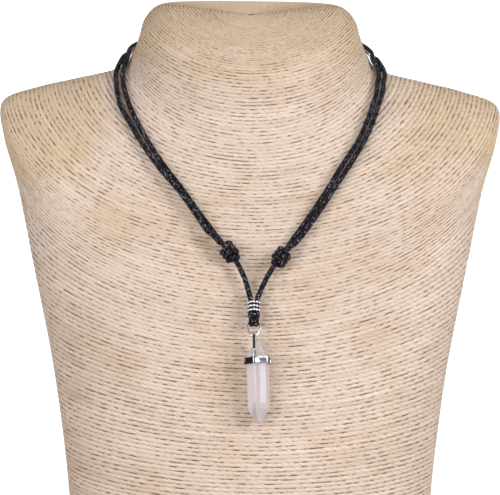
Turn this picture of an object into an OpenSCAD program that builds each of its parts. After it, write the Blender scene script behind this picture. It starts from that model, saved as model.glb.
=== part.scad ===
// Quartz necklace on a neck bust: a hexagonal quartz point in a silver cap,
// hung by a jump ring from a black cord with two sliding knots.
// Millimetres. The origin is the middle of the flat base, +Z is up,
// the chest faces -Y and +X is on the viewer's right.

/* [Cord] */
// Diameter of the waxed cord
cord_d = 2.2; // [1.6:0.1:2.2]
// Radius of the middle line of a knot's wraps
wrap_r = 2.35; // [2.2:0.05:2.6]
// Number of wraps in a sliding knot
wraps = 3; // [2:1:3]
// Distance from one wrap of a knot to the next
wrap_step = 2; // [1.6:0.05:2]
// Length of a knot's cut end
stub_l = 5.3; // [4:0.1:6.5]

/* [Sleeve] */
// Length of the silver sleeve over the two strands
sleeve_l = 4.9; // [4:0.1:5]
// Outer diameter over the sleeve's rows of granules
sleeve_d = 5.6; // [5.4:0.1:6]
// Bore of the sleeve
sleeve_bore = 4.64; // [4.6:0.02:4.8]
// Number of rows of granules
sleeve_rows = 3; // [2:1:3]

/* [Ring] */
// Wire diameter of the jump ring
ring_wire = 0.76; // [0.6:0.02:0.8]
// Radius of the ring's wide top bend, at the middle of the wire
ring_top_r = 2.6; // [2.4:0.05:2.7]
// Radius of the ring's narrow bottom bend, at the middle of the wire
ring_low_r = 1.5; // [1.4:0.05:1.6]

/* [Cap] */
// Distance over the corners of the hexagonal band
band_d = 10.9; // [10.7:0.1:11.4]
// Wall of the band
band_wall = 0.48; // [0.4:0.02:0.5]
// Height of the band
band_h = 2.6; // [2.4:0.1:3.2]
// Width of the strap that arches over the stone
strap_w = 1.2; // [1:0.1:1.3]
// Thickness of the strap
strap_t = 0.5; // [0.4:0.05:0.6]

/* [Stone] */
// Distance over the corners of the stone where the band holds it
stone_d = 9.24; // [8.6:0.02:9.3]
// Distance over the corners at the lower end of the faces
stone_low_d = 8.6; // [8:0.1:9.2]
// Length of the stone from point to point
stone_l = 33.5; // [30:0.5:34]
// Height of the upper point
upper_point = 7.9; // [7:0.1:8.2]
// Height of the lower point
lower_point = 5.9; // [5:0.1:7]
// Turn of the stone and band about the stone's own axis
stone_turn = 15; // [10:1:18]

/* [Hidden] */

// Columns of the winding table: each row is one turn of rope round the neck,
// given by its front, side and back points and by how it bends between them.
FRONT_Y = 0;
FRONT_Z = 1;
SIDE_X = 2;
SIDE_Y = 3;
SIDE_Z = 4;
BACK_Y = 5;
BACK_Z = 6;
BEND = 7;
FRONT_FULL = 8;
BACK_FULL = 9;
//  front y, z       side x, y, z       back y, z     bend  front full, back full
winding = [
  [ 40.0, 205.5,    0.0, 40, 205.5,   40.0, 205.5,   0.85,  2.0, 2.0],
  [ 27.0, 200.0,   14.5, 40, 207.0,   52.0, 209.5,   0.85,  2.0, 2.0],
  [ 14.5, 194.0,   29.0, 40, 208.8,   62.0, 212.3,   0.85,  2.0, 2.6],
  [  4.5, 188.3,   40.0, 40, 208.8,   68.0, 213.0,   0.85,  2.1, 3.2],
  [ -5.0, 180.8,   46.5, 40, 203.0,   72.5, 210.0,   0.85,  2.2, 3.2],
  [ -9.5, 173.0,   49.0, 39, 195.0,   73.5, 201.0,   0.90,  2.2, 2.8],
  [-12.5, 163.0,   51.5, 38, 188.5,   74.0, 191.0,   0.92,  2.2, 2.6],
  [-17.5, 149.0,   57.0, 35, 181.5,   74.0, 179.0,   0.94,  2.2, 2.5],
  [-25.0, 133.0,   77.0, 26, 176.0,   74.0, 165.0,   0.96,  2.4, 2.5],
  [-31.5, 121.0,   90.5, 19, 172.5,   73.5, 152.0,   0.98,  2.5, 2.6],
  [-38.5, 108.0,  105.0, 13, 166.5,   72.5, 138.0,   0.98,  2.5, 2.6],
  [-44.0,  97.0,  104.4,  8, 153.5,   71.0, 124.0,   0.96,  2.5, 2.8],
  [-49.0,  87.0,   98.0,  3, 131.0,   69.5, 108.0,   0.90,  2.4, 3.0],
  [-56.0,  71.0,   90.5, -5,  96.0,   67.0,  82.0,   0.65,  2.3, 3.0],
  [-64.5,  46.0,   82.0,-17,  59.0,   64.0,  50.0,   0.40,  2.2, 3.0],
  [-72.0,  17.0,   76.0,-27,  23.0,   61.0,  18.0,   0.30,  2.2, 3.0],
  [-77.0, -14.0,   72.5,-33,  -9.0,   59.0, -14.0,   0.30,  2.2, 3.0]];
// How far the turns fall towards the right shoulder, for each millimetre across
side_fall = 0.0115;
// Faceted turns from one row of the table to the next, and points round a turn
turns_per_row = 3;
bust_sides = 64;

// The chain of the pendant leans back with the chest, in degrees
chain_x = 1.5;
sleeve_lean = 29;
pendant_lean = 15.5;
pendant_tilt = 1.2;
// Middle of the ring's wire at its top, inside the hitch
ring_top = [chain_x, -57.5, 80.4];
// Middle of the ring's wire at its bottom, where the cap swings
swing = [chain_x, -61.4, 74.7];

// Both strands run side by side through the sleeve and meet the hitch
strand_gap = 0.06;
strand_x = (cord_d + strand_gap) / 2;
hitch_h = 2.9;
sleeve_clear = 0.1;

// Routes of the two halves of the cord, from the hitch round the neck to the
// other half's knot. The points are read by eye, mostly to the half millimetre.
left_route = [
  [chain_x - strand_x, -56.0, 83.1], [chain_x - strand_x, -53.6, 87.4],
  [-0.5, -51.5, 91], [-2.5, -48.5, 97], [-6, -45.5, 103.5], [-11, -42.5, 109.5],
  [-15.5, -37.5, 115], [-19.5, -34.5, 120], [-27, -29, 130], [-35, -23.5, 140],
  [-42, -16.5, 150], [-48, -7, 160], [-50.5, -2, 165], [-52.5, 4, 170],
  [-54, 10.5, 175], [-54.5, 16.5, 179.5], [-54, 22, 183], [-53, 28, 187],
  [-53, 40, 190], [-50.5, 55, 193], [-44, 64, 195], [-34.5, 71, 196.5],
  [-15.5, 75.5, 198], [8, 76, 198], [30.5, 73, 197], [44.5, 64, 195],
  [50, 55, 192.5], [53.5, 40, 188.5], [53.5, 28, 185], [55.5, 20, 179.5],
  [54.5, 12.5, 175], [53.5, 5, 170], [51.5, -1, 165], [49.5, -6.5, 160],
  [44.5, -16, 150], [37.5, -23.5, 140], [31, -29, 130], [24, -34.5, 120],
  [16.5, -39.5, 110], [14, -41.5, 106.5]];
right_route = [
  [chain_x + strand_x, -56.0, 83.1], [chain_x + strand_x, -53.6, 87.4],
  [4, -51.5, 91], [7, -48.5, 97], [10, -46.5, 101.5], [15, -43.5, 107.5],
  [18.5, -41.5, 110], [26.5, -35.5, 120], [33.5, -29.5, 130], [40.5, -23.5, 140],
  [47, -16.5, 150], [52, -7, 160], [54, -1, 165], [56, 5, 170],
  [57, 12, 175], [58, 20, 179], [56, 28, 184], [55, 45, 186.5],
  [52, 55.5, 190], [46, 64, 192.5], [35.5, 71.5, 194], [16, 76, 195],
  [-8, 76.5, 195.5], [-30.5, 73.5, 194.5], [-46, 64, 192.5], [-52, 55.5, 190],
  [-54.5, 45, 188], [-55.5, 28, 185.5], [-57.5, 18.5, 179.5], [-57, 10, 174.5],
  [-56, 4, 170], [-54.5, -1.5, 165], [-51.5, -7, 160], [-45, -17, 150],
  [-37.5, -25, 140], [-28.5, -31.5, 130], [-21, -37, 120], [-17.5, -40, 115],
  [-14.5, -42.5, 112.5], [-11.5, -45, 109.5]];

// Knots: middle, and the strand that slides through it
knot_left_at = [-8.5, -44, 106.5];
knot_left_axis = [-2.5, 1.5, 3];
knot_right_at = [12.5, -45, 104.5];
knot_right_axis = [2.5, 1.5, 3];
left_stub_dir = [5.0, -2.3, -2.1];
right_stub_dir = [-4.3, -3.3, -1.9];
knot_bore = cord_d + 0.3;
wrap_d = 2.12;

function unit(v) = v / norm(v);
function lerp(a, b, f) = a + (b - a) * f;

// Smooth curve through four rows of the table, at the part f between the middle two
function through(a, b, c, d, f) =
  0.5 * (2 * b + (c - a) * f + (2 * a - 5 * b + 4 * c - d) * f * f
         + (3 * b - a - 3 * c + d) * f * f * f);
function winding_at(t) =
  let (last = len(winding) - 1, i = min(floor(t), last - 1), f = t - i,
       b = winding[i], c = winding[i + 1],
       a = i > 0 ? winding[i - 1] : 2 * b - c,
       d = i + 2 <= last ? winding[i + 2] : 2 * c - b)
  through(a, b, c, d, f);

// How far a turn has risen from its front point, at the part s of the way to its side
function rise(bend, s) =
  (1 - sqrt(1 - pow(bend * s, 2))) / (1 - sqrt(1 - bend * bend));

// Point on the bust: t counts rows of the table, a is the angle from the front
function bust_point(t, a) =
  let (w = winding_at(t), front = cos(a) >= 0,
       full = front ? w[FRONT_FULL] : w[BACK_FULL],
       s = pow(abs(sin(a)), 2 / full), c = pow(abs(cos(a)), 2 / full),
       end_y = front ? w[FRONT_Y] : w[BACK_Y],
       end_z = front ? w[FRONT_Z] : w[BACK_Z],
       u = front ? rise(w[BEND], s) : 1 - c, x = sign(sin(a)) * w[SIDE_X] * s)
  [x, lerp(w[SIDE_Y], end_y, c), lerp(end_z, w[SIDE_Z], u) - side_fall * x];

// Sides of a tube or loft: rings of n points joined ring to ring
function side_faces(rings, n) =
  [for (i = [0 : rings - 2], j = [0 : n - 1], half = [0, 1])
    let (k = (j + 1) % n, p = i * n, q = p + n)
    half == 0 ? [p + j, p + k, q + k] : [p + j, q + k, q + j]];

module bust_shell() {
  rings = (len(winding) - 1) * turns_per_row;
  n = bust_sides;
  body = [for (i = [1 : rings], j = [0 : n - 1])
    bust_point(i / turns_per_row, j * 360 / n)];
  crown = bust_point(0, 0);
  foot = [0, -9, winding[len(winding) - 1][FRONT_Z]];
  crown_faces = [for (j = [0 : n - 1]) [rings * n, (j + 1) % n, j]];
  foot_faces = [for (j = [0 : n - 1])
    [rings * n + 1, (rings - 1) * n + j, (rings - 1) * n + (j + 1) % n]];
  polyhedron(points = concat(body, [crown, foot]),
    faces = concat(side_faces(rings, n), crown_faces, foot_faces));
}

module neck_bust() {
  color("burlywood")
  difference() {
    bust_shell();
    translate([-150, -150, -60]) cube([300, 300, 60]);
  }
}

// Tube of eight sides along a route. The side vector of each ring is taken
// across the line from the middle of the bust, which no stretch points along.
tube_sides = 8;
bust_middle = [0, 15, 90];
function route_dir(r, i) =
  unit(unit(r[min(i + 1, len(r) - 1)] - r[i] + (i == len(r) - 1 ? r[i] - r[i - 1] : [0, 0, 0]))
       + (i == 0 ? [0, 0, 0] : unit(r[i] - r[i - 1])));
function tube_ring(at, dir, d) =
  let (side = unit(cross(dir, at - bust_middle)), out = cross(side, dir))
  [for (j = [0 : tube_sides - 1]) let (a = (j + 0.5) * 360 / tube_sides)
    at + (side * cos(a) + out * sin(a)) * d / 2];

module tube(route, d) {
  last = len(route) - 1;
  points = [for (i = [0 : last]) each tube_ring(route[i], route_dir(route, i), d)];
  start = [for (j = [0 : tube_sides - 1]) tube_sides - 1 - j];
  end = [for (j = [0 : tube_sides - 1]) last * tube_sides + j];
  polyhedron(points = points,
    faces = concat(side_faces(last + 1, tube_sides), [start, end]));
}

module cord_left() { color("#1c1a1e") tube(left_route, cord_d); }
module cord_right() { color("#1c1a1e") tube(right_route, cord_d); }

// Turns +Z to the direction v
module point_along(v) {
  rotate([0, acos(v[2] / norm(v)), atan2(v[1], v[0])]) children();
}

// Sliding knot: wraps of cord round the other strand, and a cut end to one side
module sliding_knot(at, axis, stub_dir) {
  span = (wraps - 1) * wrap_step;
  translate(at)
  difference() {
    union() {
      point_along(axis)
      for (i = [0 : wraps - 1])
        translate([0, 0, i * wrap_step - span / 2])
        rotate_extrude($fn = 32) translate([wrap_r, 0]) circle(d = wrap_d, $fn = 20);
      point_along(stub_dir) translate([0, 0, wrap_r])
        cylinder(d = wrap_d - 0.1, h = stub_l - wrap_r, $fn = 24);
    }
    point_along(axis) cylinder(d = knot_bore, h = 2 * span + 2 * wrap_d, center = true, $fn = 32);
  }
}

module knot_left() {
  color("#1c1a1e") sliding_knot(knot_left_at, knot_left_axis, left_stub_dir);
}
module knot_right() {
  color("#1c1a1e") sliding_knot(knot_right_at, knot_right_axis, right_stub_dir);
}

// Hitch on the ring: two loops round the wire under a bar of the same cord.
// The loops pass the wire with a small gap, and two tails go up to the sleeve.
hitch_d = 1.9;
hitch_loop_r = 1.65;
hitch_x = 1.02;
loop_drop = 0.05 + ring_top_r - sqrt(ring_top_r * ring_top_r - hitch_x * hitch_x);
bar_y = -1.35;
bar_z = 1.95;
tail_y = 0.15;
tail_z = 0.9;
module cord_hitch() {
  color("#1c1a1e")
  translate(ring_top) rotate([-sleeve_lean, 0, 0]) {
    for (x = [-hitch_x, hitch_x]) {
      translate([x, 0, -loop_drop]) rotate([0, 90, 0])
        rotate_extrude($fn = 32) translate([hitch_loop_r, 0]) circle(d = hitch_d, $fn = 20);
      translate([x, tail_y, tail_z]) cylinder(d = hitch_d, h = hitch_h - tail_z, $fn = 24);
    }
    translate([0, bar_y, bar_z]) rotate([0, 90, 0])
      cylinder(d = hitch_d, h = 2 * hitch_x, center = true, $fn = 24);
    for (x = [-hitch_x, hitch_x]) translate([x, bar_y, bar_z]) sphere(d = hitch_d, $fn = 24);
  }
}

// Sleeve over both strands: a thin tube with rounded rows outside
groove = 0.25;
row_gap = 0.2;
module sleeve_bead() {
  row_h = sleeve_l / sleeve_rows;
  row_d = row_h - row_gap;
  color("silver")
  translate(ring_top) rotate([-sleeve_lean, 0, 0]) translate([0, 0, hitch_h + sleeve_clear])
  difference() {
    union() {
      cylinder(d = sleeve_d - 2 * groove, h = sleeve_l, $fn = 48);
      for (i = [0 : sleeve_rows - 1])
        translate([0, 0, (i + 0.5) * row_h]) rotate_extrude($fn = 48)
          translate([(sleeve_d - row_d) / 2, 0]) circle(d = row_d, $fn = 24);
    }
    translate([0, 0, -1]) cylinder(d = sleeve_bore, h = sleeve_l + 2, $fn = 48);
  }
}

// Jump ring: a drop shaped loop of wire from the hitch down to the cap's eye
ring_sides = 6;
ring_line = swing - ring_top;
ring_gap = norm(ring_line) - ring_top_r - ring_low_r;
ring_taper = asin((ring_top_r - ring_low_r) / ring_gap);
function arc(r, z, from, to, steps) =
  [for (i = [0 : steps]) let (a = lerp(from, to, i / steps)) [r * cos(a), z + r * sin(a)]];
function ring_outline() = concat(
  arc(ring_top_r, -ring_top_r, -ring_taper, 180 + ring_taper, 12),
  arc(ring_low_r, ring_low_r - norm(ring_line), 180 + ring_taper, 360 - ring_taper, 6));
module jump_ring() {
  path = ring_outline();
  n = len(path);
  points = [for (i = [0 : n - 1])
    let (dir = unit(path[(i + 1) % n] - path[(i + n - 1) % n]), out = [dir[1], -dir[0]])
    for (j = [0 : ring_sides - 1])
    let (a = (j + 0.5) * 360 / ring_sides, r = ring_wire / 2)
    [path[i][0] + out[0] * r * cos(a), r * sin(a), path[i][1] + out[1] * r * cos(a)]];
  faces = [for (i = [0 : n - 1], j = [0 : ring_sides - 1], half = [0, 1])
    let (k = (j + 1) % ring_sides, p = i * ring_sides, q = ((i + 1) % n) * ring_sides)
    half == 0 ? [p + j, q + k, p + k] : [p + j, q + j, q + k]];
  color("silver")
  translate(ring_top) rotate([-atan2(-ring_line[1], -ring_line[2]), 0, 0])
    polyhedron(points = points, faces = faces);
}

// Frame of the hanging pendant: origin on the ring's wire, +Z up the stone
module pendant_frame() {
  translate(swing) rotate([0, -pendant_tilt, 0]) rotate([-pendant_lean, 0, 0]) children();
}
stone_x = 1.25;
eye_r = 0.65;
stone_top = -0.9;
band_top = -8.7;
foot_front = -5.5;
foot_back = 4.85;
shoulder = -6.1;

// Outline of the strap from the side: up the front, round the eye and down the back
function strap_side(front, back, r) = concat(
  [[front, band_top - band_h], [front, shoulder]],
  [for (i = [0 : 10]) let (a = 200 - i * 22) [r * cos(a), r * sin(a)]],
  [[back, shoulder], [back, band_top - band_h]]);

module cap() {
  color("silver")
  pendant_frame() {
    translate([stone_x, 0, band_top - band_h]) rotate([0, 0, -90 - stone_turn])
    linear_extrude(band_h)
    difference() {
      circle(d = band_d, $fn = 6);
      circle(d = band_d - 2 * band_wall / cos(30), $fn = 6);
    }
    translate([strap_w / 2, 0, 0]) rotate([90, 0, -90]) mirror([1, 0, 0])
    linear_extrude(strap_w)
    difference() {
      polygon(strap_side(foot_front, foot_back, eye_r + strap_t));
      polygon(concat([[foot_front + strap_t, band_top - band_h - 1]],
        strap_side(foot_front + strap_t, foot_back - strap_t, eye_r),
        [[foot_back - strap_t, band_top - band_h - 1]]));
    }
  }
}

// Double pointed stone: a hexagon at each level, with a small flat at both tips
stone_levels = [
  [stone_top - stone_l, 0.5],
  [stone_top - stone_l + 1.0, 1.75],
  [stone_top - stone_l + lower_point, stone_low_d / 2],
  [stone_top - upper_point, stone_d / 2],
  [stone_top, 0.35]];
module quartz_point() {
  n = 6;
  rings = len(stone_levels);
  points = [for (l = stone_levels, j = [0 : n - 1])
    let (a = j * 60 - 90 - stone_turn) [l[1] * cos(a), l[1] * sin(a), l[0]]];
  low = [for (j = [0 : n - 1]) j];
  high = [for (j = [0 : n - 1]) rings * n - 1 - j];
  sides = [for (i = [0 : rings - 2], j = [0 : n - 1])
    let (k = (j + 1) % n) [i * n + j, (i + 1) * n + j, (i + 1) * n + k, i * n + k]];
  color("#e6dcdc")
  pendant_frame() translate([stone_x, 0, 0])
    polyhedron(points = points, faces = concat([low, high], sides));
}

neck_bust();
cord_left();
cord_right();
knot_left();
knot_right();
cord_hitch();
sleeve_bead();
jump_ring();
cap();
quartz_point();
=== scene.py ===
"""Quartz necklace on a rope-wound neck bust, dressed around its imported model.

Metres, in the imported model's frame: the origin is the middle of the bust's flat base, +Z is up,
the chest faces -Y and +X is on the viewer's right. Pieces are shaped in millimetres and then put
in place, with their objects left at the origin.
"""

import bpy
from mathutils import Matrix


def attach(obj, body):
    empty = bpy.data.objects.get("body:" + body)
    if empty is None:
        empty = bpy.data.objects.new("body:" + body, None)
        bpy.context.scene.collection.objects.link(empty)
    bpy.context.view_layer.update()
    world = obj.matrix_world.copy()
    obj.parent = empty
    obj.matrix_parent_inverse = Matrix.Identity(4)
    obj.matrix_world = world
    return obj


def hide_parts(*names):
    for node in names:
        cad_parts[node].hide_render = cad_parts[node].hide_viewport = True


bl_info = {
    "name": "Quartz Necklace on a Neck Bust",
    "version": (1, 0, 0),
    "blender": (4, 5, 0),
    "location": "3D View > Sidebar > Necklace",
    "description": "Builds a quartz pendant on a black cord, worn on a rope-wound neck bust",
    "category": "Add Mesh",
}

from math import asin, atan2, ceil, cos, degrees, pi, radians, sin

import bpy
import numpy as np
from bpy.props import FloatProperty, FloatVectorProperty, IntProperty, PointerProperty
from mathutils import Matrix, Vector, noise

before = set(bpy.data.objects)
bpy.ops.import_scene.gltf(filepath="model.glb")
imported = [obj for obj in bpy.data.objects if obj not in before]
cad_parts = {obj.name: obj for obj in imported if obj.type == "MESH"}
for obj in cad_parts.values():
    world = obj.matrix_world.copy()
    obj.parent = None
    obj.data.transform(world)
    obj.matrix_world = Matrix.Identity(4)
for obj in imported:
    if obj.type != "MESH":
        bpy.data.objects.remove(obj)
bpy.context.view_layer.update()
MM = 0.001

DISPLAY, PENDANT = "display", "pendant"

# The chain of the pendant, in millimetres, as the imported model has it
RING_TOP = Vector((1.5, -57.5, 80.4))
SWING = Vector((1.5, -61.4, 74.7))
SLEEVE_LEAN = 29.0
PENDANT_LEAN = 15.5
PENDANT_TILT = 1.2
STONE_X = 1.25
STONE_TURN = 15.0
HITCH_TOP = 2.9

# Routes of the two halves of the cord, in millimetres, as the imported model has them
ROUTE_LEFT = [
    (0.37, -56.0, 83.1), (0.37, -53.6, 87.4), (-0.5, -51.5, 91), (-2.5, -48.5, 97),
    (-6, -45.5, 103.5), (-11, -42.5, 109.5), (-15.5, -37.5, 115), (-19.5, -34.5, 120),
    (-27, -29, 130), (-35, -23.5, 140), (-42, -16.5, 150), (-48, -7, 160), (-50.5, -2, 165),
    (-52.5, 4, 170), (-54, 10.5, 175), (-54.5, 16.5, 179.5), (-54, 22, 183), (-53, 28, 187),
    (-53, 40, 190), (-50.5, 55, 193), (-44, 64, 195), (-34.5, 71, 196.5), (-15.5, 75.5, 198),
    (8, 76, 198), (30.5, 73, 197), (44.5, 64, 195), (50, 55, 192.5), (53.5, 40, 188.5),
    (53.5, 28, 185), (55.5, 20, 179.5), (54.5, 12.5, 175), (53.5, 5, 170), (51.5, -1, 165),
    (49.5, -6.5, 160), (44.5, -16, 150), (37.5, -23.5, 140), (31, -29, 130), (24, -34.5, 120),
    (16.5, -39.5, 110), (14, -41.5, 106.5)]
ROUTE_RIGHT = [
    (2.63, -56.0, 83.1), (2.63, -53.6, 87.4), (4, -51.5, 91), (7, -48.5, 97), (10, -46.5, 101.5),
    (15, -43.5, 107.5), (18.5, -41.5, 110), (26.5, -35.5, 120), (33.5, -29.5, 130),
    (40.5, -23.5, 140), (47, -16.5, 150), (52, -7, 160), (54, -1, 165), (56, 5, 170),
    (57, 12, 175), (58, 20, 179), (56, 28, 184), (55, 45, 186.5), (52, 55.5, 190),
    (46, 64, 192.5), (35.5, 71.5, 194), (16, 76, 195), (-8, 76.5, 195.5), (-30.5, 73.5, 194.5),
    (-46, 64, 192.5), (-52, 55.5, 190), (-54.5, 45, 188), (-55.5, 28, 185.5),
    (-57.5, 18.5, 179.5), (-57, 10, 174.5), (-56, 4, 170), (-54.5, -1.5, 165), (-51.5, -7, 160),
    (-45, -17, 150), (-37.5, -25, 140), (-28.5, -31.5, 130), (-21, -37, 120), (-17.5, -40, 115),
    (-14.5, -42.5, 112.5), (-11.5, -45, 109.5)]

# Knots, in millimetres: middle, the strand that slides through, and the cut end's direction
KNOTS = {
    "knot_left": (Vector((-8.5, -44, 106.5)), Vector((-2.5, 1.5, 3)), Vector((5.0, -2.3, -2.1)),
                  ROUTE_RIGHT),
    "knot_right": (Vector((12.5, -45, 104.5)), Vector((2.5, 1.5, 3)), Vector((-4.3, -3.3, -1.9)),
                   ROUTE_LEFT),
}

# Turns of rope round the bust, in millimetres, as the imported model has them
FRONT_Y, FRONT_Z, SIDE_X, SIDE_Y, SIDE_Z, BACK_Y, BACK_Z, BEND, FRONT_FULL, BACK_FULL = range(10)
WINDING = np.array([
    [40.0, 205.5, 0.0, 40, 205.5, 40.0, 205.5, 0.85, 2.0, 2.0],
    [27.0, 200.0, 14.5, 40, 207.0, 52.0, 209.5, 0.85, 2.0, 2.0],
    [14.5, 194.0, 29.0, 40, 208.8, 62.0, 212.3, 0.85, 2.0, 2.6],
    [4.5, 188.3, 40.0, 40, 208.8, 68.0, 213.0, 0.85, 2.1, 3.2],
    [-5.0, 180.8, 46.5, 40, 203.0, 72.5, 210.0, 0.85, 2.2, 3.2],
    [-9.5, 173.0, 49.0, 39, 195.0, 73.5, 201.0, 0.90, 2.2, 2.8],
    [-12.5, 163.0, 51.5, 38, 188.5, 74.0, 191.0, 0.92, 2.2, 2.6],
    [-17.5, 149.0, 57.0, 35, 181.5, 74.0, 179.0, 0.94, 2.2, 2.5],
    [-25.0, 133.0, 77.0, 26, 176.0, 74.0, 165.0, 0.96, 2.4, 2.5],
    [-31.5, 121.0, 90.5, 19, 172.5, 73.5, 152.0, 0.98, 2.5, 2.6],
    [-38.5, 108.0, 105.0, 13, 166.5, 72.5, 138.0, 0.98, 2.5, 2.6],
    [-44.0, 97.0, 104.4, 8, 153.5, 71.0, 124.0, 0.96, 2.5, 2.8],
    [-49.0, 87.0, 98.0, 3, 131.0, 69.5, 108.0, 0.90, 2.4, 3.0],
    [-56.0, 71.0, 90.5, -5, 96.0, 67.0, 82.0, 0.65, 2.3, 3.0],
    [-64.5, 46.0, 82.0, -17, 59.0, 64.0, 50.0, 0.40, 2.2, 3.0],
    [-72.0, 17.0, 76.0, -27, 23.0, 61.0, 18.0, 0.30, 2.2, 3.0],
    [-77.0, -14.0, 72.5, -33, -9.0, 59.0, -14.0, 0.30, 2.2, 3.0]])
# How far the turns fall for each millimetre towards +X
SIDE_FALL = 0.0115


# Settings

def measure(name, description, default):
    return FloatProperty(name=name, description=description, default=default, unit="LENGTH",
                         precision=5)


def tint(name, description, default):
    return FloatVectorProperty(name=name, description=description, default=default,
                               subtype="COLOR", min=0, max=1)


class RopeSettings(bpy.types.PropertyGroup):
    """The rope that is wound round the bust"""
    pitch: measure("Pitch", "Distance from one turn of rope to the next", 0.00162)
    relief: measure("Relief", "Depth of the groove between two turns", 0.00045)
    seat: measure("Seat", "How far the rope's crest lies inside the packed bust", 0.0002)
    lay: measure("Lay", "Length of one twist of the rope", 0.0036)
    colour: tint("Rope", "Colour of the rope's crest", (0.76, 0.585, 0.42))
    blush: tint("Blush", "Colour of the rope's pinker stretches", (0.86, 0.70, 0.595))
    # The gap colour is painted shade, laid in the grooves and partings between the turns
    gap: tint("Gap", "Colour in the gaps between the turns", (0.20, 0.085, 0.05))


class CordSettings(bpy.types.PropertyGroup):
    """The black waxed cord and what is tied from it"""
    diameter: measure("Diameter", "Diameter of the cord", 0.0022)
    wrap: measure("Wrap", "Diameter of the cord where it is pulled tight in a knot", 0.0022)
    lay: measure("Lay", "Length over which a braid's strand goes once round", 0.0052)
    colour: tint("Cord", "Colour of the waxed cord", (0.006, 0.005, 0.008))
    # The colour of the painted highlight flecks on the braid's crests
    glint: tint("Worn", "Colour where the wax is rubbed", (0.50, 0.49, 0.56))


class SilverSettings(bpy.types.PropertyGroup):
    """The silver sleeve, ring and cap"""
    wire: measure("Wire", "Diameter of the jump ring's wire", 0.00076)
    grains: IntProperty(name="Grains", description="Granules in each row of the sleeve",
                        default=11, min=6, max=16)
    colour: tint("Silver", "Colour of the polished silver", (0.80, 0.80, 0.88))
    # The tarnish colour also paints dark reflections on the band's faces and the strap's upper part
    dark: tint("Tarnish", "Colour of the darkened recesses", (0.07, 0.062, 0.075))


class StoneSettings(bpy.types.PropertyGroup):
    """The quartz point"""
    width: measure("Width", "Distance over the corners at the band", 0.00924)
    length: measure("Length", "Length from point to point", 0.0335)
    colour: tint("Quartz", "Colour of the milky quartz", (0.93, 0.835, 0.84))
    # The streak colour is painted light: bright streaks standing in for light inside the stone
    painted_streak: tint("Streak", "Colour of the light streaks inside", (0.86, 0.81, 0.87))


class StageSettings(bpy.types.PropertyGroup):
    """Camera, floor and light"""
    elevation: FloatProperty(name="Elevation", description="Height of the view above the horizon",
                             default=radians(4), subtype="ANGLE")
    distance: measure("Distance", "Distance from the camera to the chest", 0.716)
    focal: FloatProperty(name="Focal length", description="Focal length in millimetres",
                         default=129.24)
    floor: tint("Floor", "Colour of the floor and backdrop", (0.45, 0.45, 0.45))


SETTINGS = {"necklace_rope": RopeSettings, "necklace_cord": CordSettings,
            "necklace_silver": SilverSettings, "necklace_stone": StoneSettings,
            "necklace_stage": StageSettings}


# Tools for shaping pieces

def deselect():
    bpy.ops.object.select_all(action="DESELECT")


def pick(obj):
    """Selects one object alone and makes it the active one."""
    deselect()
    obj.select_set(True)
    bpy.context.view_layer.objects.active = obj


def link(name, data):
    """Puts a new mesh or curve in the scene."""
    obj = bpy.data.objects.new(name, data)
    bpy.context.scene.collection.objects.link(obj)
    return obj


def object_mode():
    bpy.ops.object.mode_set(mode="OBJECT")


def edit_mode(obj, kind="FACE", action="SELECT"):
    """Goes to edit mode with all of an object's faces or edges selected, or none."""
    pick(obj)
    bpy.ops.object.mode_set(mode="EDIT")
    bpy.ops.mesh.select_mode(type=kind)
    bpy.ops.mesh.select_all(action=action)


def edit_where(obj, kind, test):
    """Goes to edit mode with just those faces or edges selected that pass the test."""
    edit_mode(obj, kind, "DESELECT")
    object_mode()
    for part in obj.data.edges if kind == "EDGE" else obj.data.polygons:
        part.select = test(part)
    bpy.ops.object.mode_set(mode="EDIT")


def apply_place():
    """Puts the place, turn and size of what is selected into its mesh."""
    bpy.ops.object.transform_apply(location=True, rotation=True, scale=True)


def apply_modifiers(obj):
    pick(obj)
    for modifier in list(obj.modifiers):
        bpy.ops.object.modifier_apply(modifier=modifier.name)


def bevel(obj, width, segments, angle=30):
    modifier = obj.modifiers.new("edge", "BEVEL")
    modifier.width = width
    modifier.segments = segments
    modifier.limit_method = "ANGLE"
    modifier.angle_limit = radians(angle)
    modifier.harden_normals = False


def wall(obj, thickness, even=False):
    """Gives a shell a wall on its inner side."""
    modifier = obj.modifiers.new("wall", "SOLIDIFY")
    modifier.thickness, modifier.offset, modifier.use_even_offset = thickness, -1.0, even


def shade(obj, angle=40):
    pick(obj)
    bpy.ops.object.shade_smooth_by_angle(angle=radians(angle))


def copies(part, matrices):
    """Copies of a small part, each with its own mesh. The part itself is removed."""
    made = []
    for matrix in matrices:
        copy = link(part.name, part.data.copy())
        copy.data.transform(matrix)
        made.append(copy)
    bpy.data.objects.remove(part)
    return made


def join(parts, name):
    """Joins finished parts into one piece."""
    deselect()
    for part in parts:
        part.select_set(True)
    bpy.context.view_layer.objects.active = parts[0]
    bpy.ops.object.join()
    piece = bpy.context.view_layer.objects.active
    piece.name = piece.data.name = name
    return piece


def place(obj, name, matrix):
    """Moves a finished piece from its own millimetres to its place in the frame."""
    pick(obj)
    obj.matrix_world = matrix
    apply_place()
    obj.name = obj.data.name = name


def leaning(at, lean, tilt=0.0):
    """Matrix from a piece's own millimetres to the frame, leaning back at a point."""
    return (Matrix.Scale(MM, 4) @ Matrix.Translation(at)
            @ Matrix.Rotation(radians(-tilt), 4, "Y") @ Matrix.Rotation(radians(-lean), 4, "X"))


def two_tone(obj, bright, dark, test):
    """Gives an object both silvers, the dark one on the faces that pass the test."""
    for material in (bright, dark):
        obj.data.materials.append(material)
    for face in obj.data.polygons:
        face.material_index = int(test(face))


def dress(obj, material, slot, body, *nodes):
    """Gives a piece its material and body, and hides the nodes it stands for. Its slot is not used.
    """
    if not obj.data.materials:
        obj.data.materials.append(material)
    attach(obj, body)
    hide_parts(*nodes)


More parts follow.
